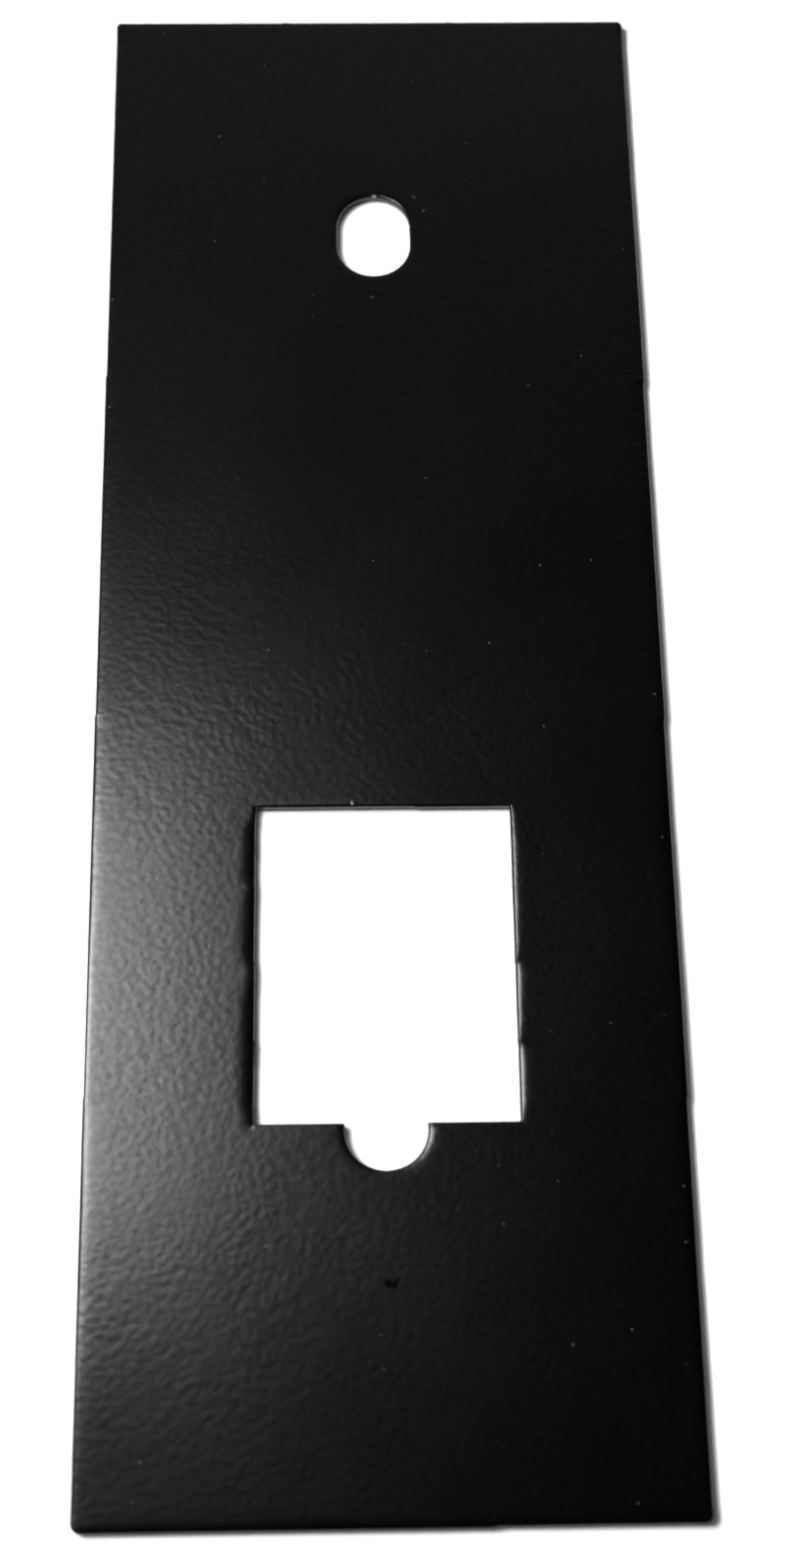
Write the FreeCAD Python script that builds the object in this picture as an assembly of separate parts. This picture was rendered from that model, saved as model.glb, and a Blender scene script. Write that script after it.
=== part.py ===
import FreeCAD, Part
import os
from math import radians, tan
from FreeCAD import Vector

# Punched flat cover plate of powder-coated sheet steel, one piece, millimetres.
# The plate lies on its back: +Z leaves the front (rolled-edge) face, +X runs
# across the width to the right, +Y runs from the lower (window) end to the
# upper end with the obround hole. The origin is the centre of the back face's
# bounding box.

INCH = 25.4

# Plate
WIDTH = 4.5 * INCH
HEIGHT = 327.0
SHEET_THICK = 1.9             # 14 gauge
COAT_THICK = 0.1              # on each face
THICK = SHEET_THICK + 2 * COAT_THICK
CORNER_RADIUS = 1.6           # outer corners, seen from the front
ROLL_RADIUS = 0.45            # every edge of the front face

LEFT = -WIDTH / 2
RIGHT = WIDTH / 2
BOTTOM = -HEIGHT / 2
TOP = HEIGHT / 2

# Each long side is cut by four hits of a rectangular punch that stands askew,
# so it is a row of straight runs with a small step between neighbours.
HIT_SKEW = tan(radians(0.12))           # drift in X for each unit of Y
STEP_RAMP = 0.9                         # length along the edge of one step
LEFT_STEPS = (78.9, 157.2, 235.5)       # heights above the lower edge
RIGHT_STEPS = (77.7, 155.4, 233.2)
END_STEP_X = 18.3                       # where the lower end's two hits meet
END_STEP_RISE = 0.25                    # the right-hand hit stands this much higher

# Window and hole
PUNCH_RADIUS = 7.8            # 5/8 in round punch less the coat: notch and hole
WINDOW_WIDTH = 50.0
WINDOW_HEIGHT = 2.5 * INCH
WINDOW_CENTRE_X = 0.2
WINDOW_FROM_BOTTOM = 73.5     # plate's lower edge to the window's lower edge
NOTCH_DROP = 1.2              # notch centre below the window's lower edge
HOLE_LENGTH = 20.0            # end to end, along Y
HOLE_FROM_TOP = 2.25 * INCH   # plate's upper edge to the hole's centre

SELECT_TOLERANCE = 1e-6       # for finding the front face's edges


def side_points(side_x, steps):
    """Points up one long side, lowest first.

    Every run drifts towards -X as it climbs and the step brings it back. The
    outermost end of each run is on side_x: its top on the left side, its
    bottom on the right.
    """
    limits = (0.0, *steps, HEIGHT)
    points = []
    for low, high in zip(limits, limits[1:]):
        drift = (high - low) * HIT_SKEW
        if side_x < 0:
            start_x, end_x = side_x + drift, side_x
        else:
            start_x, end_x = side_x, side_x - drift
        # Half of each step's ramp comes off the runs on either side of it.
        start = low + STEP_RAMP / 2 if low > 0 else low
        end = high - STEP_RAMP / 2 if high < HEIGHT else high
        points += [(start_x, BOTTOM + start), (end_x, BOTTOM + end)]
    return points


def corner_arc(before, corner, after, radius):
    """The arc that rounds a corner, as its start, middle and end points."""
    back = (before - corner).normalize()
    ahead = (after - corner).normalize()
    setback = radius / tan(back.getAngle(ahead) / 2)
    centre_distance = (radius ** 2 + setback ** 2) ** 0.5
    bisector = (back + ahead).normalize()
    middle = corner + bisector * (centre_distance - radius)
    return corner + back * setback, middle, corner + ahead * setback


def rounded_wire(points, corners, radius):
    """A closed wire through the points, rounded at those listed in corners."""
    vectors = [Vector(x, y, 0) for x, y in points]
    joints = []
    for i, vector in enumerate(vectors):
        if points[i] in corners:
            after = vectors[(i + 1) % len(vectors)]
            joints.append(corner_arc(vectors[i - 1], vector, after, radius))
        else:
            joints.append((vector,))
    edges = []
    for joint, next_joint in zip(joints, joints[1:] + joints[:1]):
        if len(joint) == 3:
            edges.append(Part.Arc(*joint).toShape())
        edges.append(Part.makeLine(joint[-1], next_joint[0]))
    return Part.Wire(edges)


def line(start, end):
    return Part.makeLine(Vector(*start, 0), Vector(*end, 0))


def arc(start, middle, end):
    return Part.Arc(Vector(*start, 0), Vector(*middle, 0), Vector(*end, 0)).toShape()


def through_thickness(wire):
    return Part.Face(wire).extrude(Vector(0, 0, THICK))


def make_blank():
    left = side_points(LEFT, LEFT_STEPS)
    right = side_points(RIGHT, RIGHT_STEPS)
    right_end_y = BOTTOM + END_STEP_RISE
    right[0] = (right[0][0], right_end_y)
    end_step = [(END_STEP_X - STEP_RAMP / 2, BOTTOM),
                (END_STEP_X + STEP_RAMP / 2, right_end_y)]
    # Counterclockwise from the lower left corner
    outline = left[:1] + end_step + right + left[:0:-1]
    corners = (left[0], right[0], right[-1], left[-1])
    return through_thickness(rounded_wire(outline, corners, CORNER_RADIUS))


def make_window():
    """The rectangular window with a round notch in its lower edge."""
    left = WINDOW_CENTRE_X - WINDOW_WIDTH / 2
    right = WINDOW_CENTRE_X + WINDOW_WIDTH / 2
    bottom = BOTTOM + WINDOW_FROM_BOTTOM
    top = bottom + WINDOW_HEIGHT
    # The notch is centred on the plate, not on the window.
    notch_half = (PUNCH_RADIUS ** 2 - NOTCH_DROP ** 2) ** 0.5
    notch_left = (-notch_half, bottom)
    notch_right = (notch_half, bottom)
    notch_low = (0, bottom - NOTCH_DROP - PUNCH_RADIUS)
    path = [notch_left, (left, bottom), (left, top),
            (right, top), (right, bottom), notch_right]
    edges = [line(start, end) for start, end in zip(path, path[1:])]
    edges.append(arc(notch_right, notch_low, notch_left))
    return through_thickness(Part.Wire(edges))


def make_hole():
    """The obround hole, long along Y."""
    centre_y = TOP - HOLE_FROM_TOP
    straight_half = HOLE_LENGTH / 2 - PUNCH_RADIUS
    low = centre_y - straight_half
    high = centre_y + straight_half
    left, right = -PUNCH_RADIUS, PUNCH_RADIUS
    return through_thickness(Part.Wire([
        line((right, low), (right, high)),
        arc((right, high), (0, high + PUNCH_RADIUS), (left, high)),
        line((left, high), (left, low)),
        arc((left, low), (0, low - PUNCH_RADIUS), (right, low)),
    ]))


def on_front_face(edge):
    box = edge.BoundBox
    return (abs(box.ZMin - THICK) < SELECT_TOLERANCE
            and abs(box.ZMax - THICK) < SELECT_TOLERANCE)


def make_plate():
    plate = make_blank().cut(make_window()).cut(make_hole())
    front_edges = [edge for edge in plate.Edges if on_front_face(edge)]
    return plate.makeFillet(ROLL_RADIUS, front_edges).Solids[0]


os.makedirs("parts", exist_ok=True)
make_plate().exportStep("parts/guard_plate.step")
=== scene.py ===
"""A powder-coated sheet-steel cover plate, punched with a rectangular window that has a
round notch under it, and with an obround hole near the upper end.

The plate lies on its back: its front face looks to +Z, its long sides run along Y, its
lower end is at -Y and its left side at -X. Lengths are in millimetres until the mesh is
written, which is in metres.
"""
import math

import bpy
import numpy as np
from mathutils import Matrix, Vector
from mathutils.geometry import delaunay_2d_cdt


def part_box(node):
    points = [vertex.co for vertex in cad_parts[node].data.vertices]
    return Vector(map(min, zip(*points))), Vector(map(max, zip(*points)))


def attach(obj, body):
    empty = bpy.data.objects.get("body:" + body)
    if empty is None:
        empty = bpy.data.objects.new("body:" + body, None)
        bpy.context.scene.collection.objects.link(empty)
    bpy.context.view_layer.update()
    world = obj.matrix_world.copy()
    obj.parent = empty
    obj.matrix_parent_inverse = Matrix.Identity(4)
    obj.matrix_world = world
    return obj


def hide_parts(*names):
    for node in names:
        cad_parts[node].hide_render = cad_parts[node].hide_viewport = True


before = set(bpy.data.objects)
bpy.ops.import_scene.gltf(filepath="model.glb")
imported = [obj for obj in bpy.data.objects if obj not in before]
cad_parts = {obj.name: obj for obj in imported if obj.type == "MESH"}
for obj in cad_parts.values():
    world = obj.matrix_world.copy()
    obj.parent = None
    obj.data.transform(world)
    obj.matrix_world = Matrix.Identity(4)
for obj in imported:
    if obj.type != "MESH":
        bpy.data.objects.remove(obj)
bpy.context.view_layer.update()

RNG = np.random.default_rng(20240611)

# ---- sizes -----------------------------------------------------------------------
box_lo, box_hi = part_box("guard_plate")
LEFT, RIGHT = box_lo.x * 1000, box_hi.x * 1000
BOTTOM, TOP = box_lo.y * 1000, box_hi.y * 1000
FRONT = box_hi.z * 1000
WIDTH, LENGTH = RIGHT - LEFT, TOP - BOTTOM

HOLE_R = 7.8
HOLE_HALF = 20.0 / 2 - HOLE_R      # from the hole's middle to the centre of either round end
HOLE_Y = 106.35

WIN_X = 0.2
WIN_HALF_WIDTH = 25.0
WIN_START = 73.5                   # the window's ends, from the plate's lower end
WIN_END = WIN_START + 63.5
WIN_LEFT, WIN_RIGHT = WIN_X - WIN_HALF_WIDTH, WIN_X + WIN_HALF_WIDTH
WIN_BOTTOM = BOTTOM + WIN_START
WIN_TOP = WIN_BOTTOM + 63.5

NOTCH_R = 7.8
NOTCH_DROP = 1.2                   # its centre is this far below the window's lower edge
NOTCH_Y = WIN_BOTTOM - NOTCH_DROP
NOTCH_HALF_MOUTH = math.sqrt(NOTCH_R ** 2 - NOTCH_DROP ** 2)

# where one hit of the punch meets the next: along Y from the plate's lower end, or in X
LEFT_STEPS = (78.9, 157.2, 235.5)
RIGHT_STEPS = (77.7, 155.4, 233.2)
BOTTOM_STEP = 18.3
TOP_NIBS = (17.6, -19.1)
WIN_LEFT_NIBS = (104.4, 120.4)
WIN_RIGHT_NIBS = (105.0, 89.0)
WIN_TOP_NIB = -5.8
WIN_TOP_STEP = 6.4
SKEW = math.tan(math.radians(0.12))    # each hit on a long side is turned by this slope

BAND = 3.6             # the band along an edge that is meshed in rings
ROUND = 0.42           # the small round right at the rim
ROUND_RINGS = [0.0, 0.05, 0.17, 0.36, 0.62, 1.0]             # in parts of ROUND
BAND_RINGS = [0.46, 0.66, 0.95, 1.35, 1.9, 2.6, BAND]        # in mm from the rim
BACK_GAP = 0.012       # the back face stands this far off the ground
FRONT_GRID, BACK_GRID = 0.8, 2.4


# ---- curves and waves ------------------------------------------------------------
def smooth(start, end, x):
    t = np.clip((x - start) / (end - start), 0, 1)
    return t * t * (3 - 2 * t)


def interp(x, table):
    """Reads a table of (place, value) rows."""
    rows = np.array(table, float)
    return np.interp(x, rows[:, 0], rows[:, 1])


class Wave:
    """A smooth random height, made of sines whose wavelengths lie in a range."""

    def __init__(self, count, shortest, longest, rms, stretch=1.0):
        wavelength = np.exp(RNG.uniform(math.log(shortest), math.log(longest), count))
        k = 2 * math.pi / wavelength
        heading = RNG.uniform(0, 2 * math.pi, count)
        self.kx, self.ky = k * np.cos(heading), k * np.sin(heading) / stretch
        self.phase = RNG.uniform(0, 2 * math.pi, count)
        weight = 1.0 / k ** 1.5
        self.height = weight * rms / math.sqrt((weight ** 2).sum() / 2)

    def __call__(self, x, y=0.0):
        sines = zip(self.kx, self.ky, self.phase, self.height)
        return sum(height * np.sin(kx * x + ky * y + phase) for kx, ky, phase, height in sines)


# the random draws depend on the order of these
sheet = Wave(14, 60, 210, rms=0.012)
swell = Wave(70, 3.2, 14, rms=0.0016, stretch=1.3)
back_swell = Wave(40, 9, 40, rms=0.003)
rim_left, rim_right, rim_bottom, rim_top = (Wave(26, 1.5, 30, rms=0.012) for _ in range(4))
win_rim = Wave(20, 1.2, 18, rms=0.008)
uneven = Wave(24, 5, 40, rms=0.07)


# ---- edges as the punch left them ------------------------------------------------
def side_offset(y, steps, at_start, at_end):
    """How far inside the nominal line a long side stands. Each hit drifts by its length
    times SKEW; at_start and at_end say at which of its ends (1 or 0)."""
    limits = [0.0, *steps, LENGTH]
    places, values = [], []
    for start, end in zip(limits[:-1], limits[1:]):
        drift = (end - start) * SKEW
        places += [start if start == 0 else start + 0.3, end if end == LENGTH else end - 0.3]
        values += [drift * at_start, drift * at_end]
    return np.interp(y - BOTTOM, places, values)


def nib(s, at, high, before, after):
    """A tooth on an edge: it rises over `before` up to `at` and runs out over `after`."""
    u = s - at
    return high * np.where(u < 0, np.clip(1 + u / before, 0, 1) ** 2,
                           np.clip(1 - u / after, 0, 1) ** 2)


def left_line(y):
    return LEFT + 0.02 + side_offset(y, LEFT_STEPS, 1, 0) + np.abs(rim_left(y))


def right_line(y):
    return RIGHT - 0.02 - side_offset(y, RIGHT_STEPS, 0, 1) - np.abs(rim_right(y)) * 1.6


def bottom_line(x):
    step = 0.25 * smooth(BOTTOM_STEP - 0.4, BOTTOM_STEP + 0.4, x)
    return BOTTOM + 0.02 + step + np.abs(rim_bottom(x))


def top_line(x):
    """The upper end is cut in three hits: a small tooth stands where one meets the next."""
    return (TOP - 0.10 - np.abs(rim_top(x)) + nib(x, TOP_NIBS[0], 0.16, 0.7, 0.9)
            + nib(x, TOP_NIBS[1], 0.20, 1.3, 1.3))


def win_left_line(y):
    t = y - BOTTOM
    lean = interp(t, [(73, 0), (104.2, 1), (104.6, -1), (120.2, 0.6), (120.6, -0.6), (137, 0.2)])
    return (WIN_LEFT + 0.05 * lean + nib(t, WIN_LEFT_NIBS[0], 0.07, 0.5, 1.2)
            + nib(t, WIN_LEFT_NIBS[1], 0.05, 0.6, 0.8) + win_rim(y))


def win_right_line(y):
    t = y - BOTTOM
    lean = interp(t, [(73, 0), (88.8, 1), (89.2, -1), (104.8, 1), (105.2, -1), (137, 0)])
    return (WIN_RIGHT + 0.04 * lean - nib(t, WIN_RIGHT_NIBS[0], 0.09, 0.5, 1.0)
            - nib(t, WIN_RIGHT_NIBS[1], 0.08, 0.5, 1.0) + win_rim(y, 40))


def win_top_line(x):
    return (WIN_TOP + 0.02 - 0.14 * smooth(6.2, 6.7, x) - nib(x, WIN_TOP_NIB, 0.10, 0.6, 0.9)
            + win_rim(80, x))


def win_bottom_line(x):
    return WIN_BOTTOM + 0.6 * win_rim(x)


# ---- how the front face is drawn down towards each edge --------------------------
# Each edge function gives the slope at the rim and the distance over which it flattens
# out. Both change along the edge, because each hit of the punch draws the rim a little
# differently at its two ends. Tables are (place along the edge, value).
def along_hit(t, steps, table):
    """Reads a table given against the place within a hit (0 its lower end, 1 its upper end)."""
    limits = [0.0, *steps, LENGTH]
    place = np.zeros(np.shape(t))
    for start, end in zip(limits[:-1], limits[1:]):
        place = np.where((t >= start) & (t <= end), (t - start) / (end - start), place)
    return interp(place, table)


def ease(from_start, from_end, low, reach=5):
    """`low` at both ends of an edge, rising to 1 over `reach` at its start and 5 at its end."""
    return low + (1 - low) * smooth(0, reach, from_start) * smooth(0, 5, from_end)


def left_edge(y):
    """The tight part of the roll; left_tail is the slow part that reaches further in."""
    t = y - BOTTOM
    slope = along_hit(t, LEFT_STEPS, [(0, 0.66), (0.015, 0.80), (0.985, 0.78), (1, 0.85)])
    return (slope * ease(t, LENGTH - t, 0.45),
            0.36 * (1 + uneven(y)) * ease(t, LENGTH - t, 0.7))


def left_tail(y):
    t = y - BOTTOM
    slope = along_hit(t, LEFT_STEPS, [
        (0, 0.05), (0.3, 0.09), (0.55, 0.17), (0.8, 0.24), (0.97, 0.22), (1, 0.08)])
    slope = slope * interp(t, [(0, 2.0), (42, 1.5), (60, 0.95), (72, 0.8), (82, 1.0),
                               (LENGTH, 1.0)])
    return slope * ease(t, LENGTH - t, 0.3, reach=3), 1.05


def right_edge(y):
    t = y - BOTTOM
    length = along_hit(t, RIGHT_STEPS, [
        (0, 0.42), (0.012, 0.58), (0.3, 0.62), (0.55, 0.82), (0.8, 0.92), (0.985, 0.90),
        (1, 0.6)])
    length = length * 0.85 * (1 + uneven(y, 50))
    return 0.66 * ease(t, LENGTH - t, 0.45), length * ease(t, LENGTH - t, 0.6)


def bottom_edge(x):
    length = interp(x, [(LEFT, 0.5), (LEFT + 6, 0.62), (18.0, 0.6), (18.35, 0.3), (19.6, 0.7),
                        (RIGHT, 0.55)])
    return 0.62 * ease(x - LEFT, RIGHT - x, 0.45), length * (1 + uneven(x, 90))


def top_edge(x):
    return 0.42 * ease(x - LEFT, RIGHT - x, 0.45), 0.45 * (1 + uneven(x, 130))


def win_left_edge(y):
    """The tight part of the roll; win_left_droop is the wide droop behind it."""
    slope = interp(y - BOTTOM, [(73.5, 0.4), (77, 0.52), (133, 0.50), (137, 0.4)])
    return slope, 0.30 * (1 + 0.5 * uneven(y, 170))


def win_left_droop(y):
    """Reach of the droop on the window's left side, and how fast its slope grows to the rim."""
    t = y - BOTTOM
    reach = interp(t, [
        (73.5, 2.3), (75.5, 2.6), (77.0, 2.97), (97.6, 2.90), (100, 2.42), (102.4, 2.0),
        (103.7, 1.97), (104.8, 2.4), (106, 2.77), (107.5, 3.0), (113.2, 2.9), (115.6, 2.65),
        (118.0, 2.6), (119.3, 2.3), (120.4, 2.05), (121.6, 2.6), (123, 3.0), (126.4, 2.77),
        (129, 2.65), (132.4, 2.65), (133.6, 2.4), (135, 1.3), (137.0, 0.8)])
    growth = interp(t, [(73.5, 0.09), (78, 0.105), (132, 0.100), (137, 0.06)])
    return reach * (1 + 0.15 * uneven(y, 170)), growth


def win_right_edge(y):
    t = y - BOTTOM
    length = interp(t, [
        (73.5, 0.24), (77.0, 0.55), (86.0, 0.64), (87.6, 0.56), (88.75, 0.34), (89.0, 0.22),
        (89.3, 0.28), (92.5, 0.45), (98.0, 0.50), (102.5, 0.56), (104.0, 0.46), (104.7, 0.32),
        (105.0, 0.22), (105.4, 0.26), (108.0, 0.38), (116.0, 0.45), (130.0, 0.46),
        (135.0, 0.36), (137.0, 0.22)])
    slope = interp(t, [
        (73.5, 0.6), (76, 0.80), (88.5, 0.80), (88.9, 0.5), (89.4, 0.85), (104.5, 0.85),
        (104.95, 0.5), (105.5, 0.9), (135, 0.95), (137, 0.6)])
    return slope, length * (1 + 0.5 * uneven(y, 210))


def win_top_edge(x):
    length = interp(x, [
        (WIN_LEFT, 0.22), (WIN_LEFT + 4, 0.42), (-7.0, 0.44), (-6.0, 0.46), (-5.7, 0.26),
        (-4.5, 0.32), (6.2, 0.34), (6.7, 0.44), (WIN_RIGHT - 4, 0.40), (WIN_RIGHT, 0.22)])
    slope = interp(x, [
        (WIN_LEFT, 0.5), (WIN_LEFT + 3, 0.66), (-6.6, 0.62), (-6.1, 0.9), (-5.6, 0.5),
        (6.2, 0.6), (6.7, 0.7), (WIN_RIGHT - 3, 0.66), (WIN_RIGHT, 0.5)])
    return slope, length


def win_bottom_edge(x):
    slope = interp(np.abs(x), [
        (NOTCH_HALF_MOUTH - 0.6, 0.0), (NOTCH_HALF_MOUTH + 0.6, 0.14),
        (NOTCH_HALF_MOUTH + 3, 0.30), (WIN_RIGHT - 4, 0.30), (WIN_RIGHT, 0.14)])
    return slope, 0.42


def notch_edge(x, y):
    angle = np.degrees(np.arctan2(y - NOTCH_Y, x))
    slope = interp(angle, [
        (-180, 0.56), (-140, 0.56), (-100, 0.5), (-80, 0.5), (-60, 0.66), (-20, 0.78),
        (0, 0.74), (9, 0.30), (20, 0), (160, 0), (171, 0.25), (180, 0.56)])
    length = interp(angle, [
        (-180, 0.55), (-100, 0.5), (-91, 0.4), (-60, 0.52), (0, 0.58), (10, 0.5), (180, 0.55)])
    return slope * (1 - smooth(WIN_BOTTOM - 0.2, WIN_BOTTOM + 1.5, y)), length


def hole_edge(x, y_past):
    """y_past is how far past the nearer round end's centre the point lies, along Y."""
    angle = np.degrees(np.arctan2(y_past, x))
    slope = interp(angle, [
        (-180, 0.55), (-90, 0.4), (0, 0.55), (40, 0.6), (80, 0.62), (87, 0.8), (89, 0.4),
        (95, 0.45), (130, 0.55), (180, 0.55)])
    length = interp(angle, [
        (-180, 0.5), (-90, 0.42), (0, 0.45), (60, 0.42), (86, 0.45), (88, 0.25), (95, 0.4),
        (180, 0.5)])
    return slope, length


def fall(edge, distance):
    slope, length = edge
    distance = np.maximum(distance, 0)
    return slope * length * np.exp(-distance / length) * (1 - smooth(3.0, 4.4, distance))


def window_drop(x, y):
    near_x = np.clip(x, win_left_line(y), win_right_line(y))
    near_y = np.clip(y, win_bottom_line(x), win_top_line(x))
    dx, dy = x - near_x, y - near_y
    distance = np.hypot(dx, dy)
    gap_x, gap_y = np.abs(dx), np.abs(dy)

    # how much of the fall belongs to the window's long sides, the rest to its ends
    beside = (y > WIN_BOTTOM) & (y < WIN_TOP) & (gap_x > 1e-6)
    beyond = (x > WIN_LEFT) & (x < WIN_RIGHT) & (gap_y > 1e-6)
    share = gap_x / np.maximum(gap_x + gap_y, 1e-9)
    share = np.where(gap_x + gap_y < 1e-6, 0.5, share)
    share = np.where(beyond & ~beside, 0.0, share)
    share = np.where(beside, 1.0, share)

    blend = []
    for left, right, bottom, top in zip(win_left_edge(near_y), win_right_edge(near_y),
                                        win_bottom_edge(near_x), win_top_edge(near_x)):
        side = np.where(dx < 0, left, right)
        end = np.where(dy < 0, bottom, top)
        blend.append(side * share + end * (1 - share))
    reach, growth = win_left_droop(near_y)
    droop = 0.5 * growth * share * np.maximum(reach - distance, 0) ** 2
    return fall(blend, distance) + np.where(dx < 0, droop, 0.0)


def drop(x, y):
    """How far the front face is drawn down at a point, by all the edges near it."""
    off_middle = y - HOLE_Y
    y_past = np.maximum(np.abs(off_middle) - HOLE_HALF, 0) * np.sign(off_middle)
    from_left = x - left_line(y)
    return (fall(left_edge(y), from_left)
            + fall(left_tail(y), from_left)
            + fall(right_edge(y), right_line(y) - x)
            + fall(bottom_edge(x), y - bottom_line(x))
            + fall(top_edge(x), top_line(x) - y)
            + window_drop(x, y)
            + fall(notch_edge(x, y), np.hypot(x, y - NOTCH_Y) - NOTCH_R)
            + fall(hole_edge(x, y_past), np.hypot(x, y_past) - HOLE_R))


def front_z(x, y):
    return FRONT - 0.04 + sheet(x, y) + swell(x, y) - drop(x, y)


def back_z(x, y):
    return BACK_GAP + 0.012 + np.maximum(back_swell(x, y), -0.01)


# ---- loops -----------------------------------------------------------------------
# Each loop function gives the rim's outline and the band's far side, point for point,
# with the sheet's material on the left hand.
def spread(length, step, fine, fine_step=0.3, reach=1.6):
    """Places from 0 to length, about step apart and closer near the places in fine."""
    place, places = 0.0, [0.0]
    while True:
        near = min([abs(place - f) for f in fine] + [1e9])
        gap = fine_step if near < reach else min(step, fine_step + (near - reach) * 0.5)
        place += gap
        if place > length - 0.5 * gap:
            break
        places.append(place)
    return np.array(places + [length])


def squeeze(u, shift_start, shift_end, length, reach):
    """Draws the two ends of u in by their shifts, and leaves the middle in place."""
    reach = min(reach, length / 2)
    at_start = 1 - smooth(0, reach, u)
    at_end = 1 - smooth(0, reach, length - u)
    return u + shift_start * at_start - shift_end * at_end


def polar(x, y, radius, degrees):
    angle = np.radians(degrees)
    return np.c_[x + radius * np.cos(angle), y + radius * np.sin(angle)]


def arc(x, y, radius, start, end, count):
    return polar(x, y, radius, np.linspace(start, end, count + 1))


def join(parts):
    """Chains point lists whose ends meet into one closed list without repeats."""
    return np.concatenate([part[:-1] for part in parts])


def outer_loop():
    inner_radius = 1.0
    corner_steps = 9
    # corner the side starts from, its radius, direction of the side, length, fine places
    sides = (
        ((LEFT, BOTTOM), 2.0, (1, 0), WIDTH, [BOTTOM_STEP - LEFT]),
        ((RIGHT, BOTTOM), 1.7, (0, 1), LENGTH, RIGHT_STEPS),
        ((RIGHT, TOP), 1.5, (-1, 0), WIDTH, [RIGHT - x for x in TOP_NIBS]),
        ((LEFT, TOP), 1.2, (0, -1), LENGTH, [LENGTH - t for t in LEFT_STEPS]),
    )
    rim, inner = [], []
    for i, (corner, radius, direction, full, fine) in enumerate(sides):
        next_corner, next_radius = sides[(i + 1) % 4][:2]
        direction = np.array(direction)
        inward = np.array([-direction[1], direction[0]])
        start = np.array(corner) + direction * radius
        length = full - radius - next_radius
        s = spread(length, FRONT_GRID, [f - radius for f in fine])
        shifts = BAND + inner_radius - radius, BAND + inner_radius - next_radius
        s_inner = squeeze(s, *shifts, length, 16)
        rim.append(start + s[:, None] * direction)
        inner.append(start + s_inner[:, None] * direction + inward * BAND)

        diagonal = inward - direction
        centre = next_corner + diagonal * next_radius
        inner_centre = next_corner + diagonal * (BAND + inner_radius)
        angles = 90 * i - 90, 90 * i
        rim.append(arc(*centre, next_radius, *angles, corner_steps))
        inner.append(arc(*inner_centre, inner_radius, *angles, corner_steps))
    rim, inner = join(rim), join(inner)

    x, y = rim[:, 0].copy(), rim[:, 1].copy()
    across, along = (x - LEFT) / WIDTH, (y - BOTTOM) / LENGTH
    rim[:, 0] = x + (1 - across) * (left_line(y) - LEFT) + across * (right_line(y) - RIGHT)
    rim[:, 1] = y + (1 - along) * (bottom_line(x) - BOTTOM) + along * (top_line(x) - TOP)
    return rim, inner


def ear(inset, radius):
    """Centre and angle, seen from the notch's centre, of the round between the notch and
    the window's lower edge, for x > 0 and with both edges moved by inset into the sheet."""
    drop_left = NOTCH_DROP - inset - radius
    x = math.sqrt((NOTCH_R + inset + radius) ** 2 - drop_left ** 2)
    y = WIN_BOTTOM - inset - radius
    return x, y, math.degrees(math.atan2(y - NOTCH_Y, x))


def notch_arcs(right_angle, right_inner, left_angle, left_inner):
    """The notch, from its right ear round its bottom to the left, with a small tip below."""
    u = np.linspace(0, 1, 74)
    end, inner_end = -180 - left_angle, -180 - left_inner
    angle = right_angle - (right_angle - end) * u
    inner_angle = (angle + (right_inner - right_angle) * (1 - smooth(0, 0.36, u))
                   + (inner_end - end) * smooth(0.64, 1, u))
    radius = NOTCH_R + 0.10 * np.clip(1 - np.abs(angle + 90.0) / 4.5, 0, 1) ** 1.5
    return polar(0, NOTCH_Y, radius, angle), polar(0, NOTCH_Y, NOTCH_R + BAND, inner_angle)


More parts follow.
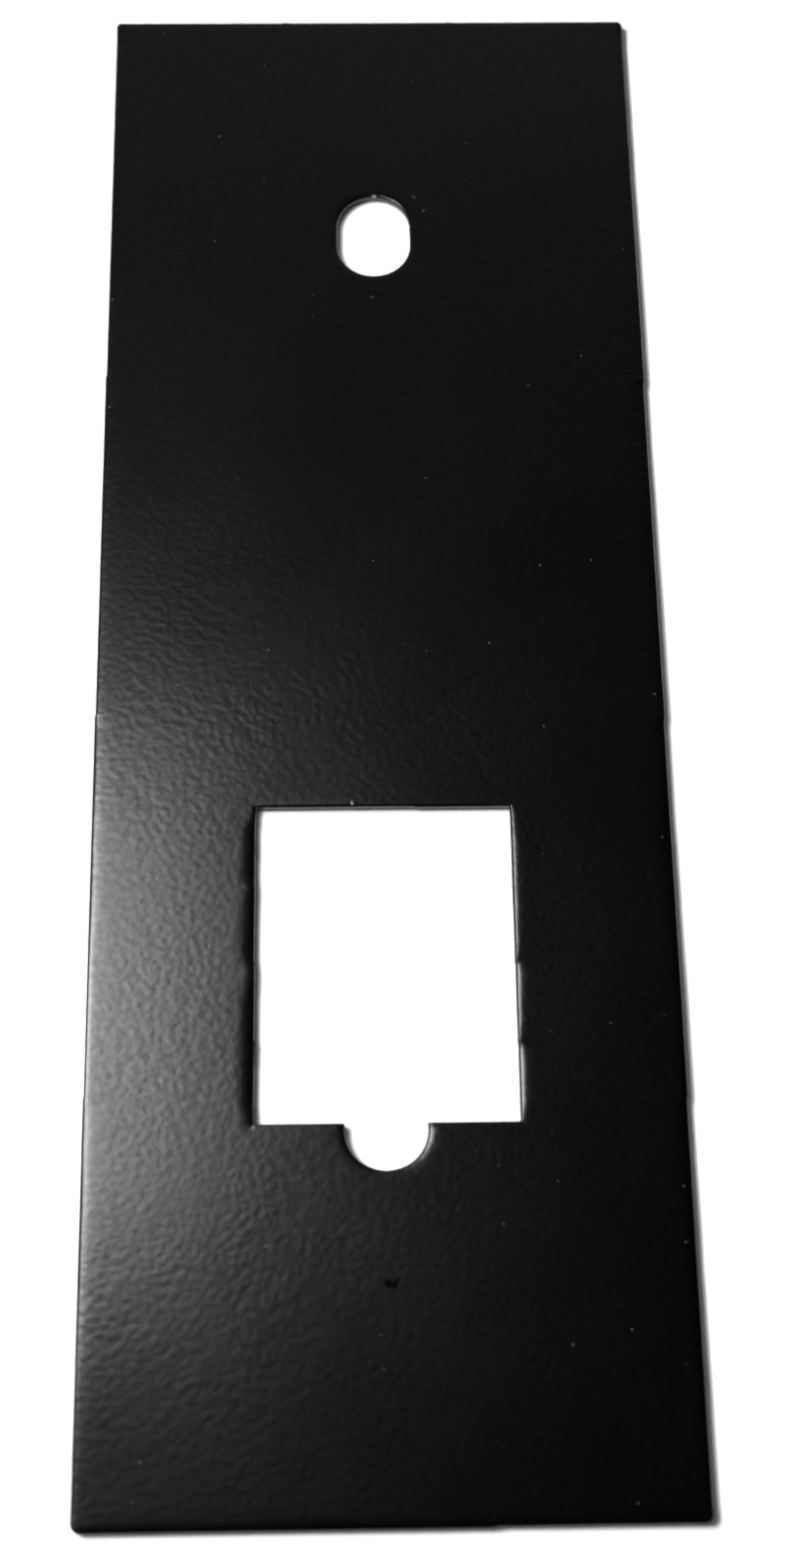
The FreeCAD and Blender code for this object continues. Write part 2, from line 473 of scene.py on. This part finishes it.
def window_loop():
    """Clockwise, starting from the left ear along the lower edge to the left."""
    corner_r = 0.4
    corner_steps, ear_steps = 12, 7
    right_ear_r, left_ear_r, inner_ear_r = 0.22, 0.45, 0.8
    right_x, right_y, right_angle = ear(0, right_ear_r)
    left_x, left_y, left_angle = ear(0, left_ear_r)
    ear_x, ear_y, ear_angle = ear(BAND, inner_ear_r)
    x0, x1 = WIN_LEFT + corner_r, WIN_RIGHT - corner_r
    y0, y1 = WIN_BOTTOM + corner_r, WIN_TOP - corner_r
    rim, inner = [], []

    def line(start, end, inner_start, inner_end, fine=()):
        start, end, inner_start, inner_end = (
            np.array(p, float) for p in (start, end, inner_start, inner_end))
        length = np.linalg.norm(end - start)
        direction = (end - start) / length
        s = spread(length, 0.6, fine, fine_step=0.22, reach=1.4)
        shift_start = (inner_start - start) @ direction
        shift_end = (end - inner_end) @ direction
        reach = max(7.0, 2.2 * max(abs(shift_start), abs(shift_end)))
        s_inner = squeeze(s, shift_start, shift_end, length, reach)
        rim.append(start + s[:, None] * direction)
        aside = inner_start - start - shift_start * direction
        inner.append(start + s_inner[:, None] * direction + aside)

    def corner(x, y, start):
        rim.append(arc(x, y, corner_r, start, start - 90, corner_steps))
        inner.append(arc(x, y, corner_r + BAND, start, start - 90, corner_steps))

    low = WIN_BOTTOM - BAND
    line((-left_x, WIN_BOTTOM), (x0, WIN_BOTTOM), (-ear_x, low), (x0, low))
    corner(x0, y0, 270)
    line((WIN_LEFT, y0), (WIN_LEFT, y1), (WIN_LEFT - BAND, y0), (WIN_LEFT - BAND, y1),
         [t - WIN_START - corner_r for t in WIN_LEFT_NIBS])
    corner(x0, y1, 180)
    line((x0, WIN_TOP), (x1, WIN_TOP), (x0, WIN_TOP + BAND), (x1, WIN_TOP + BAND),
         [x - WIN_LEFT - corner_r for x in (WIN_TOP_NIB, WIN_TOP_STEP)])
    corner(x1, y1, 90)
    line((WIN_RIGHT, y1), (WIN_RIGHT, y0), (WIN_RIGHT + BAND, y1), (WIN_RIGHT + BAND, y0),
         [WIN_END - t - corner_r for t in WIN_RIGHT_NIBS])
    corner(x1, y0, 0)
    line((x1, WIN_BOTTOM), (right_x, WIN_BOTTOM), (x1, low), (ear_x, low))

    rim.append(arc(right_x, right_y, right_ear_r, 90, 180 + right_angle, ear_steps))
    inner.append(arc(ear_x, ear_y, inner_ear_r, 90, 180 + ear_angle, ear_steps))
    notch, notch_inner = notch_arcs(right_angle, ear_angle, left_angle, ear_angle)
    rim.append(notch)
    inner.append(notch_inner)
    rim.append(arc(-left_x, left_y, left_ear_r, -left_angle, 90, ear_steps))
    inner.append(arc(-ear_x, ear_y, inner_ear_r, -ear_angle, 90, ear_steps))
    rim, inner = join(rim), join(inner)

    # move the rim to the punched lines, but leave the notch and its ears alone
    x, y = rim[:, 0].copy(), rim[:, 1].copy()
    across = np.clip((x - WIN_LEFT) / (WIN_RIGHT - WIN_LEFT), 0, 1)
    along = np.clip((y - WIN_BOTTOM) / (WIN_TOP - WIN_BOTTOM), 0, 1)
    dx = ((1 - across) * (win_left_line(y) - WIN_LEFT)
          + across * (win_right_line(y) - WIN_RIGHT))
    keep = smooth(WIN_BOTTOM - 0.3, WIN_BOTTOM + 0.4, y) * smooth(9, 16, np.abs(x))
    rim[:, 0] = x + dx * np.where(y > WIN_BOTTOM + 1, 1, keep)
    rim[:, 1] = y + along * (win_top_line(x) - WIN_TOP)
    return rim, inner


def hole_loop():
    """Clockwise: the upper end and the right flank, then the lower end and the left flank."""
    rim, inner = [], []
    for side in (1, -1):
        angle = np.linspace(90 + 90 * side, 90 * side - 90, 57)
        y = np.linspace(side * HOLE_HALF, -side * HOLE_HALF, 9)
        radius, flank = HOLE_R, np.full(9, side * HOLE_R)
        if side == 1:
            # a tip near the top, and a slight step inwards to its right
            radius = (HOLE_R - 0.07 * np.clip(1 - np.abs(angle - 87.0) / 4.0, 0, 1) ** 1.5
                      - 0.05 * smooth(86, 60, angle))
            flank = flank - 0.05 * smooth(0, 1, y / HOLE_HALF)
        centre = HOLE_Y + side * HOLE_HALF
        rim += [polar(0, centre, radius, angle), np.c_[flank, HOLE_Y + y]]
        inner += [polar(0, centre, HOLE_R + BAND, angle),
                  np.c_[np.full(9, side * (HOLE_R + BAND)), HOLE_Y + y]]
    return join(rim), join(inner)


# ---- the mesh --------------------------------------------------------------------
vertices, faces = [], []


def add_vertices(points):
    """Adds points to the plate and returns their indices."""
    first = sum(len(v) for v in vertices)
    vertices.append(np.asarray(points, float))
    return np.arange(first, first + len(points))


def build_band(rim, inner):
    """The band on the front, the wall and the band on the back, along one loop.
    Returns the indices of the innermost rows on the front and on the back."""
    tangent = np.roll(rim, -1, 0) - np.roll(rim, 1, 0)
    tangent /= np.linalg.norm(tangent, axis=1)[:, None]
    normal = np.c_[-tangent[:, 1], tangent[:, 0]]
    reach = np.maximum(((inner - rim) * normal).sum(1), 0.5 * BAND)
    run = np.cumsum(np.linalg.norm(np.roll(rim, -1, 0) - rim, axis=1))
    grain_wave = Wave(50, 0.5, 9, rms=1.0)
    grain, grain_low = grain_wave(run), grain_wave(run, 60)

    rows = []
    for d in reversed([r * ROUND for r in ROUND_RINGS] + BAND_RINGS):
        if d == BAND:
            points = inner
        elif d <= ROUND:
            points = rim + (inner - rim) * (d / reach)[:, None]
        else:
            start = ROUND / reach
            part = start + (1 - start) * (d - ROUND) / (BAND - ROUND)
            points = rim + (inner - rim) * part[:, None]
        into_round = max(0, ROUND - d)
        rounding = ROUND - math.sqrt(max(ROUND ** 2 - into_round ** 2, 0))
        z = front_z(points[:, 0], points[:, 1]) - rounding
        rows.append(add_vertices(np.c_[points, z]))
    rim_z = z

    # burnished land, then the broken, slightly tapered lower part of the wall
    low = back_z(rim[:, 0], rim[:, 1])
    land_z = 0.95 + 0.08 * grain
    levels = [                                 # height, how far it stands into the sheet
        (0.5 * (rim_z + land_z), 0.0),
        (land_z, 0.004),
        (land_z - 0.16, 0.035 + 0.010 * grain_low),
        (low + 0.42, 0.075 + 0.012 * grain),
        (low + 0.13, 0.10 + 0.012 * grain_low),
        (low + 0.035, 0.15),
        (low, 0.25),
    ]
    for z, offset in levels:
        rows.append(add_vertices(np.c_[rim + normal * np.reshape(offset, (-1, 1)), z]))
    for points in (rim + (inner - rim) * (1.3 / reach)[:, None], inner):
        rows.append(add_vertices(np.c_[points, back_z(points[:, 0], points[:, 1])]))
    for a, b in zip(rows[:-1], rows[1:]):
        faces.append(np.c_[a, b, np.roll(b, -1), np.roll(a, -1)])
    return rows[0], rows[-1]


def clearance(x, y):
    """Distance to the nearest edge of the sheet, from inside it."""
    outer = np.minimum(np.minimum(x - LEFT, RIGHT - x), np.minimum(y - BOTTOM, TOP - y))
    window = np.hypot(np.maximum(np.maximum(WIN_LEFT - x, x - WIN_RIGHT), 0),
                      np.maximum(np.maximum(WIN_BOTTOM - y, y - WIN_TOP), 0))
    notch = np.hypot(x, y - NOTCH_Y) - NOTCH_R
    hole = np.hypot(x, np.maximum(np.abs(y - HOLE_Y) - HOLE_HALF, 0)) - HOLE_R
    return np.minimum.reduce([outer, window, notch, hole])


def within(polygon, points):
    x, y = points[:, 0], points[:, 1]
    inside = np.zeros(len(points), bool)
    for (x1, y1), (x2, y2) in zip(polygon, np.roll(polygon, -1, 0)):
        if y1 != y2:
            crosses = (y1 > y) != (y2 > y)
            inside ^= crosses & (x < (x2 - x1) * (y - y1) / (y2 - y1) + x1)
    return inside


def grid_lines(start, length, grid):
    """Grid places centred between the bands of two opposite sides."""
    room = length - 2 * BAND
    count = int(room / grid)
    return start + BAND + (room - count * grid) / 2 + grid * np.arange(count + 1)


def grid_border(cell, ids):
    """The edges that bound the gridded cells."""
    pad = np.pad(cell, 1)
    edges = []
    # step to the neighbour, and the two corners of the edge shared with it
    for di, dj, first, second in ((-1, 0, (0, 0), (0, 1)), (1, 0, (1, 0), (1, 1)),
                                  (0, -1, (0, 0), (1, 0)), (0, 1, (0, 1), (1, 1))):
        neighbour = pad[1 + di:pad.shape[0] - 1 + di, 1 + dj:pad.shape[1] - 1 + dj]
        i, j = np.nonzero(cell & ~neighbour)
        edges += list(zip(ids[i + first[0], j + first[1]], ids[i + second[0], j + second[1]]))
    return edges


def triangulate(points, edges):
    """Triangles over the vertices that the edges use."""
    keys = sorted(set(int(k) for edge in edges for k in edge))
    local = {key: n for n, key in enumerate(keys)}
    flat = [Vector((points[k, 0], points[k, 1])) for k in keys]
    result = delaunay_2d_cdt(flat, [(local[int(a)], local[int(b)]) for a, b in edges],
                             [], 0, 1e-6)
    if len(result[0]) != len(flat):
        raise RuntimeError("the triangulation changed its points")
    source = [keys[origin[0]] for origin in result[3]]
    return np.array([[source[v] for v in face] for face in result[2]])


def fill(loops, grid, height, up):
    """The middle of a face: a regular grid of quads, joined to the loops by triangles."""
    grid_x, grid_y = grid_lines(LEFT, WIDTH, grid), grid_lines(BOTTOM, LENGTH, grid)
    xx, yy = np.meshgrid(grid_x, grid_y, indexing="ij")
    good = clearance(xx, yy) > BAND + 0.55 * max(1.0, grid / 1.2)
    cell = good[:-1, :-1] & good[1:, :-1] & good[1:, 1:] & good[:-1, 1:]
    used = np.zeros_like(good)
    for part in (used[:-1, :-1], used[1:, :-1], used[1:, 1:], used[:-1, 1:]):
        part |= cell
    ids = np.full(good.shape, -1)
    ids[used] = add_vertices(np.c_[xx[used], yy[used], height(xx[used], yy[used])])
    i, j = np.nonzero(cell)
    quads = np.c_[ids[i, j], ids[i + 1, j], ids[i + 1, j + 1], ids[i, j + 1]]
    faces.append(quads if up else quads[:, ::-1])

    edges = grid_border(cell, ids)
    for loop in loops:
        edges += list(zip(loop, np.roll(loop, -1)))
    points = np.concatenate(vertices)[:, :2]
    triangles = triangulate(points, edges)

    # keep the triangles between the grid and the loops
    centres = points[triangles].mean(1)
    ci = np.floor((centres[:, 0] - grid_x[0]) / grid).astype(int)
    cj = np.floor((centres[:, 1] - grid_y[0]) / grid).astype(int)
    on_grid = (ci >= 0) & (cj >= 0) & (ci < cell.shape[0]) & (cj < cell.shape[1])
    in_cell = np.zeros(len(triangles), bool)
    in_cell[on_grid] = cell[ci[on_grid], cj[on_grid]]
    keep = within(points[loops[0]], centres) & ~in_cell
    for loop in loops[1:]:
        keep &= ~within(points[loop], centres)
    triangles = triangles[keep]

    corners = points[triangles]
    u, v = corners[:, 1] - corners[:, 0], corners[:, 2] - corners[:, 0]
    flip = (u[:, 0] * v[:, 1] - v[:, 0] * u[:, 1] < 0) == up
    triangles[flip] = triangles[flip][:, ::-1]
    faces.append(triangles)


def require_closed(vertex_count, groups):
    """Every edge must be used once in each direction."""
    edges = np.concatenate([np.c_[g.ravel(), np.roll(g, -1, 1).ravel()] for g in groups])
    a, b = edges.astype(np.int64).T
    key, reverse = a * vertex_count + b, b * vertex_count + a
    if len(np.unique(key)) != len(key) or not np.array_equal(np.sort(key), np.sort(reverse)):
        raise RuntimeError("the plate's mesh isn't closed")


def build_plate():
    bands = [build_band(*loop()) for loop in (outer_loop, window_loop, hole_loop)]
    front_loops, back_loops = zip(*bands)
    fill(front_loops, FRONT_GRID, front_z, up=True)
    fill(back_loops, BACK_GRID, back_z, up=False)

    points = np.concatenate(vertices)
    quads = np.concatenate([f for f in faces if f.shape[1] == 4])
    triangles = np.concatenate([f for f in faces if f.shape[1] == 3])
    require_closed(len(points), (quads, triangles))

    mesh = bpy.data.meshes.new("guard_plate_coated")
    mesh.vertices.add(len(points))
    mesh.vertices.foreach_set("co", (points * 0.001).astype(np.float32).ravel())
    corners = np.concatenate([quads.ravel(), triangles.ravel()]).astype(np.int32)
    mesh.loops.add(len(corners))
    mesh.loops.foreach_set("vertex_index", corners)
    mesh.polygons.add(len(quads) + len(triangles))
    starts = np.concatenate([np.arange(len(quads)) * 4,
                             quads.size + np.arange(len(triangles)) * 3])
    mesh.polygons.foreach_set("loop_start", starts.astype(np.int32))
    mesh.update(calc_edges=True)
    mesh.polygons.foreach_set("use_smooth", np.ones(len(mesh.polygons), bool))
    mesh.validate()
    mesh.update()
    plate = bpy.data.objects.new("guard_plate_coated", mesh)
    bpy.context.scene.collection.objects.link(plate)
    return plate


# ---- shader helpers --------------------------------------------------------------
class Shader:
    """Builds the node tree of a material or world from empty."""

    def __init__(self, owner):
        owner.use_nodes = True
        self.tree = owner.node_tree
        self.tree.nodes.clear()

    def node(self, kind, inputs=None, **settings):
        """Adds a node; each input is a value, or a socket to link from."""
        node = self.tree.nodes.new(kind)
        for name, value in settings.items():
            setattr(node, name, value)
        for slot, value in (inputs or {}).items():
            if isinstance(value, bpy.types.NodeSocket):
                self.tree.links.new(value, node.inputs[slot])
            else:
                node.inputs[slot].default_value = value
        return node

    def math(self, operation, *values, clamp=False):
        return self.node("ShaderNodeMath", dict(enumerate(values)),
                         operation=operation, use_clamp=clamp).outputs[0]

    def ramp(self, value, start, end, low=0.0, high=1.0):
        """Smoothly from low, where value is start, to high, where it is end."""
        return self.node("ShaderNodeMapRange", {
            "From Min": start, "From Max": end, "To Min": low, "To Max": high,
            "Value": value}, interpolation_type="SMOOTHSTEP").outputs[0]

    def mapping(self, vector, **inputs):
        inputs["Vector"] = vector
        return self.node("ShaderNodeMapping", inputs, vector_type="POINT").outputs[0]

    def noise(self, vector, scale, detail, roughness, seed):
        moved = self.mapping(vector, Location=(seed, seed * 0.7, -seed))
        return self.node("ShaderNodeTexNoise", {
            "Vector": moved, "Scale": scale, "Detail": detail, "Roughness": roughness,
        }, noise_dimensions="3D").outputs["Fac"]

    def about_zero(self, value, size):
        """Turns a 0 to 1 value into a swing of the given size about zero."""
        return self.math("MULTIPLY", self.math("SUBTRACT", value, 0.5), size)

    def cells(self, vector, scale):
        """Scattered cells: distance from each one's middle, and its random colour."""
        cells = self.node("ShaderNodeTexVoronoi", {
            "Scale": scale, "Randomness": 1.0, "Vector": vector,
        }, voronoi_dimensions="2D", feature="F1")
        pick = self.node("ShaderNodeSeparateColor", {0: cells.outputs["Color"]})
        return cells.outputs["Distance"], pick.outputs

    def capsule(self, xyz, start, end, solid, edge):
        """1 within `solid` of the line between two points in XY, fading to 0 at `edge`."""
        px = self.math("SUBTRACT", xyz["X"], start[0])
        py = self.math("SUBTRACT", xyz["Y"], start[1])
        dx, dy = end[0] - start[0], end[1] - start[1]
        dot = self.math("ADD", self.math("MULTIPLY", px, dx), self.math("MULTIPLY", py, dy))
        t = self.math("DIVIDE", dot, dx * dx + dy * dy, clamp=True)
        ex = self.math("SUBTRACT", px, self.math("MULTIPLY", t, dx))
        ey = self.math("SUBTRACT", py, self.math("MULTIPLY", t, dy))
        squares = self.math("ADD", self.math("MULTIPLY", ex, ex), self.math("MULTIPLY", ey, ey))
        return self.ramp(self.math("SQRT", squares), edge, solid)

    def mix_colour(self, factor, first, second):
        return self.node("ShaderNodeMix", {0: factor, 6: first, 7: second},
                         data_type="RGBA").outputs[2]

    def mix_shader(self, factor, first, second):
        inputs = {0: factor, 1: first.outputs[0], 2: second.outputs[0]}
        return self.node("ShaderNodeMixShader", inputs)


# ---- the coat --------------------------------------------------------------------
PEEL_MM = 0.032            # height of the orange peel
FINE_MM = 0.0022           # height of the finer grain between its cells
PIT_MM = 0.012             # depth of the craters, scaled by a random share
NICK_MM = 0.008
BEAD_MM = 0.05
ROUGHNESS = 0.235
ROUGHNESS_DRIFT = 0.05     # over the whole sheet
ROUGHNESS_GRAIN = 0.03
SPECULAR = 0.5
MOTTLE = 0.55              # swing of the sheen
NICK_DULLING = 0.85
ALBEDO = 0.0004
COAT_COLOUR = (ALBEDO, ALBEDO, ALBEDO * 1.04, 1)
SPECK_COLOUR = (0.08, 0.083, 0.088, 1)
BEAD_COLOUR = (0.02, 0.02, 0.02, 1)
# painted highlight: light grey colour for the glint on the hole's upper rim
RIM_GLINT_PAINT_COLOUR = (0.26, 0.265, 0.27, 1)
NICK_Y = BOTTOM + 43.0
# how the peel's strength changes along the plate: from and to (mm past the lower end),
# strength before and after
PEEL_BANDS = ((55.0, 150.0, 0.92, 1.04), (215.0, 280.0, 1.05, 0.42))


def coat_relief(shader, place, xyz, fine):
    """Orange peel, rounded cells about 1.5 mm long, with a finer grain and a few craters."""
    stretched = shader.mapping(place, Scale=(1.0, 1.04, 1.0))
    peel = shader.noise(stretched, scale=0.72, detail=0.6, roughness=0.4, seed=3.0)
    patch = shader.noise(place, scale=0.05, detail=1.0, roughness=0.5, seed=19.0)
    swing = shader.math("ADD", 1.0, shader.about_zero(patch, 1.3))
    for start, end, before, after in PEEL_BANDS:
        band = shader.ramp(xyz["Y"], BOTTOM + start, BOTTOM + end, before, after)
        swing = shader.math("MULTIPLY", swing, band)
    peel_height = shader.about_zero(peel, shader.math("MULTIPLY", swing, PEEL_MM))
    height = shader.math("ADD", peel_height, shader.about_zero(fine, FINE_MM))

    distance, pick = shader.cells(place, scale=0.15)
    shape = shader.ramp(distance, 0.105, 0.02)
    depth = shader.math("MULTIPLY", shader.math("SUBTRACT", pick[1], 0.45), PIT_MM)
    return shader.math("SUBTRACT", height, shader.math("MULTIPLY", shape, depth))


def dust_specks(shader, place):
    """Specks in those cells whose random value is over 0.70, larger the higher it is."""
    distance, pick = shader.cells(place, scale=0.09)
    size = shader.math("MULTIPLY", shader.math("SUBTRACT", pick[0], 0.70), 0.085)
    part = shader.math("DIVIDE", distance, shader.math("MAXIMUM", size, 0.0001))
    return shader.ramp(part, 1.0, 0.2)


def powder_coat():
    material = bpy.data.materials.new("black_powder_coat")
    shader = Shader(material)
    coordinates = shader.node("ShaderNodeTexCoord")
    place = shader.mapping(coordinates.outputs["Object"], Scale=(1000, 1000, 1000))
    xyz = shader.node("ShaderNodeSeparateXYZ", {0: place}).outputs
    fine = shader.noise(
        shader.mapping(place, Scale=(1.0, 1.04, 1.0)),
        scale=1.7, detail=2.0, roughness=0.5, seed=11.0)
    height = coat_relief(shader, place, xyz, fine)

    geometry = shader.node("ShaderNodeNewGeometry")
    normal = shader.node("ShaderNodeSeparateXYZ", {0: geometry.outputs["Normal"]})
    facing = shader.math("GREATER_THAN", normal.outputs["Z"], 0.9)
    speck = shader.math("MULTIPLY", dust_specks(shader, place), facing)

    # one pressed-in nick on the front face, below the window
    nick = shader.math(
        "MAXIMUM",
        shader.capsule(xyz, (-0.1, NICK_Y + 0.45), (0.95, NICK_Y - 0.1), solid=0.35, edge=0.95),
        shader.capsule(xyz, (0.95, NICK_Y - 0.15), (1.55, NICK_Y + 0.65), solid=0.12, edge=0.70))
    nick = shader.math("MULTIPLY", nick, facing)
    height = shader.math("SUBTRACT", height, shader.math("MULTIPLY", nick, NICK_MM))

    # a nib of coat beside the obround hole, and a painted highlight on the hole's upper rim: a
    # light grey spot in the colour that stands in for the glint there
    bead = shader.capsule(xyz, (8.75, HOLE_Y + 10.05), (9.15, HOLE_Y + 9.6),
                          solid=0.0, edge=0.55)
    bead = shader.math("MULTIPLY", bead, facing)
    painted_rim_glint = shader.capsule(xyz, (0.15, HOLE_Y + 10.12), (0.45, HOLE_Y + 10.12),
                              solid=0.05, edge=0.45)
    near_front = shader.math("GREATER_THAN", xyz["Z"], FRONT - 0.5)
    painted_rim_glint = shader.math("MULTIPLY", painted_rim_glint, near_front)
    height = shader.math("ADD", height, shader.math("MULTIPLY", bead, BEAD_MM))
    bump = shader.node("ShaderNodeBump", {"Strength": 1.0, "Distance": 0.001, "Height": height})

    drift = shader.noise(place, scale=0.035, detail=2.0, roughness=0.5, seed=27.0)
    roughness = shader.math("ADD", ROUGHNESS, shader.about_zero(drift, ROUGHNESS_DRIFT))
    roughness = shader.math("ADD", roughness, shader.about_zero(fine, ROUGHNESS_GRAIN))

    colour = shader.mix_colour(speck, COAT_COLOUR, SPECK_COLOUR)
    colour = shader.mix_colour(shader.math("MULTIPLY", bead, 0.8), colour, BEAD_COLOUR)
    # painted highlight: the glint on the hole's upper rim, laid into the colour as light grey
    colour = shader.mix_colour(painted_rim_glint, colour, RIM_GLINT_PAINT_COLOUR)

    mottle = shader.noise(place, scale=0.8, detail=1.0, roughness=0.5, seed=41.0)
    sheen = shader.math("ADD", 1.0, shader.about_zero(mottle, MOTTLE))
    undulled = shader.math("SUBTRACT", 1.0, shader.math("MULTIPLY", nick, NICK_DULLING))
    sheen = shader.math("MULTIPLY", sheen, undulled)
    surface = shader.node("ShaderNodeBsdfPrincipled", {
        "Base Color": colour,
        "Roughness": roughness,
        "Specular IOR Level": shader.math("MULTIPLY", sheen, SPECULAR),
        "Normal": bump.outputs[0],
    })
    shader.node("ShaderNodeOutputMaterial", {"Surface": surface.outputs[0]})
    return material


plate = build_plate()
plate.data.materials.append(powder_coat())
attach(plate, "root")
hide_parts("guard_plate")


# ---- ground, in metres -----------------------------------------------------------
def ground_material():
    """Pale matt ground. To the camera it runs out into plain white away from the plate.
    It lets through rays from below, and very short rays other than the camera's."""
    material = bpy.data.materials.new("ground")
    shader = Shader(material)
    matt = shader.node("ShaderNodeBsdfDiffuse", {"Color": (0.86, 0.86, 0.86, 1)})
    clear = shader.node("ShaderNodeBsdfTransparent")
    white = shader.node("ShaderNodeEmission")
    material.cycles.emission_sampling = "NONE"
    geometry = shader.node("ShaderNodeNewGeometry").outputs
    path = shader.node("ShaderNodeLightPath").outputs

    short = shader.math("LESS_THAN", path["Ray Length"], 0.00012)
    not_camera = shader.math("SUBTRACT", 1.0, path["Is Camera Ray"])
    passing = shader.math("MULTIPLY", short, not_camera)
    passing = shader.math("MAXIMUM", passing, geometry["Backfacing"])

    away = shader.node("ShaderNodeVectorMath", {0: geometry["Position"]}, operation="LENGTH")
    fade = shader.ramp(away.outputs["Value"], 0.20, 0.36)
    fade = shader.math("MULTIPLY", fade, path["Is Camera Ray"])
    surface = shader.mix_shader(passing, shader.mix_shader(fade, matt, white), clear)
    shader.node("ShaderNodeOutputMaterial", {"Surface": surface.outputs[0]})
    return material


def ground():
    half, z = 3.0, -0.00002
    mesh = bpy.data.meshes.new("ground")
    corners = [(-half, -half, z), (half, -half, z), (half, half, z), (-half, half, z)]
    mesh.from_pydata(corners, [], [(0, 1, 2, 3)])
    floor = bpy.data.objects.new("ground", mesh)
    bpy.context.scene.collection.objects.link(floor)
    mesh.materials.append(ground_material())


ground()

# ---- lights ----------------------------------------------------------------------
# Placed in plate widths from the middle of the plate's lower edge.
LIGHT_UNIT = 0.1143        # one plate width, in metres
REFLECTED_HEIGHT = 4.0
KEY_HEIGHT = 8.0
KEY_Y = 1.43
KEY_SPAN = (KEY_Y - 0.15 * KEY_HEIGHT, KEY_Y + 0.8 * KEY_HEIGHT)


def panel(name, x_span, y_span, height, turn, radiance, reflected):
    """A level rectangle of light over the plate, which is either only seen reflected in
    the coat or only falls on matt surfaces. turn is in degrees."""
    data = bpy.data.lights.new(name, "AREA")
    data.shape = "RECTANGLE"
    data.size = (x_span[1] - x_span[0]) * LIGHT_UNIT
    data.size_y = (y_span[1] - y_span[0]) * LIGHT_UNIT
    data.energy = radiance * math.pi * data.size * data.size_y
    light = bpy.data.objects.new(name, data)
    bpy.context.scene.collection.objects.link(light)
    angle = math.radians(turn)
    x, y = sum(x_span) / 2, sum(y_span) / 2
    light.rotation_euler = (0, 0, angle)
    light.location = (x * math.cos(angle) * LIGHT_UNIT,
                      (y + x * math.sin(angle)) * LIGHT_UNIT + BOTTOM * 0.001,
                      height * LIGHT_UNIT + FRONT * 0.001)
    light.visible_camera = False
    light.visible_glossy = reflected
    light.visible_diffuse = not reflected


# the window that the coat reflects, in three strips, brightest in the middle:
# name, near and far side towards -X per unit of height, radiance
for name, near, far, radiance in (("window_near", 0.150, 0.36, 9.1),
                                  ("window_middle", 0.36, 0.60, 21.0),
                                  ("window_far", 0.60, 0.85, 16.0)):
    panel(name, (-far * REFLECTED_HEIGHT - 0.1, -near * REFLECTED_HEIGHT - 0.1),
          (1.26, 2.956), REFLECTED_HEIGHT, turn=1.7, radiance=radiance, reflected=True)

# the light that falls on the ground, with the same columns
for name, near, far, radiance in (("key_glow", 0.12, 0.44, 1.6),
                                  ("key_fringe", 0.44, 0.73, 11.0),
                                  ("key", 0.73, 1.10, 45.0)):
    panel(name, (-far * KEY_HEIGHT, -near * KEY_HEIGHT), KEY_SPAN, KEY_HEIGHT,
          turn=0.0, radiance=radiance, reflected=False)

# brightness of the reflected surroundings, against the Y of the ray's direction
REFLECTED_SKY = ((0.0, 0.0), (0.38, 0.01), (0.46, 0.03), (0.52, 0.05), (0.56, 0.085),
                 (0.60, 0.15), (0.70, 0.30), (1.0, 0.5))


def studio_world():
    """White to the camera, a graded sky in reflections, and a faint fill otherwise."""
    world = bpy.data.worlds.new("studio")
    bpy.context.scene.world = world
    shader = Shader(world)
    coordinates = shader.node("ShaderNodeTexCoord")
    direction = shader.node("ShaderNodeSeparateXYZ", {0: coordinates.outputs["Generated"]})
    sky = shader.node("ShaderNodeValToRGB", {0: direction.outputs["Y"]})
    stops = sky.color_ramp.elements
    for place, value in REFLECTED_SKY:
        if place == 0.0:
            stop = stops[0]
        elif place == 1.0:
            stop = stops[-1]
        else:
            stop = stops.new(place)
        stop.color = (value, value, value, 1)

    path = shader.node("ShaderNodeLightPath").outputs
    seen, fill_light, reflected = (
        shader.node("ShaderNodeBackground", {"Color": colour, "Strength": strength})
        for colour, strength in (((1, 1, 1, 1), 1.0),
                                 ((0.95, 0.97, 1, 1), 0.085),
                                 ((1, 1, 1, 1), sky.outputs[0])))
    lighting = shader.mix_shader(path["Is Glossy Ray"], fill_light, reflected)
    surface = shader.mix_shader(path["Is Camera Ray"], lighting, seen)
    shader.node("ShaderNodeOutputWorld", {"Surface": surface.outputs[0]})


studio_world()

# ---- camera ----------------------------------------------------------------------
CAMERA_TURN = ((0.999782, 0.009501, -0.018574),
               (-0.015708, 0.928723, -0.37044),
               (0.013731, 0.370651, 0.928671))
CAMERA_PLACE = (-0.006371, -0.202264, 0.454437)

lens = bpy.data.cameras.new("camera")
lens.sensor_fit = "AUTO"
lens.sensor_width = 36.0
lens.lens = 56.582343
lens.clip_start, lens.clip_end = 0.01, 20
camera = bpy.data.objects.new("camera", lens)
bpy.context.scene.collection.objects.link(camera)
pose = Matrix(CAMERA_TURN).to_4x4()
pose.translation = CAMERA_PLACE
camera.matrix_world = pose
bpy.context.scene.camera = camera
# both ends of the plate are a little out of focus
lens.dof.use_dof = True
lens.dof.focus_object = plate
lens.dof.aperture_fstop = 9.5

bpy.context.scene.view_settings.view_transform = "Standard"
bpy.context.scene.view_settings.look = "None"
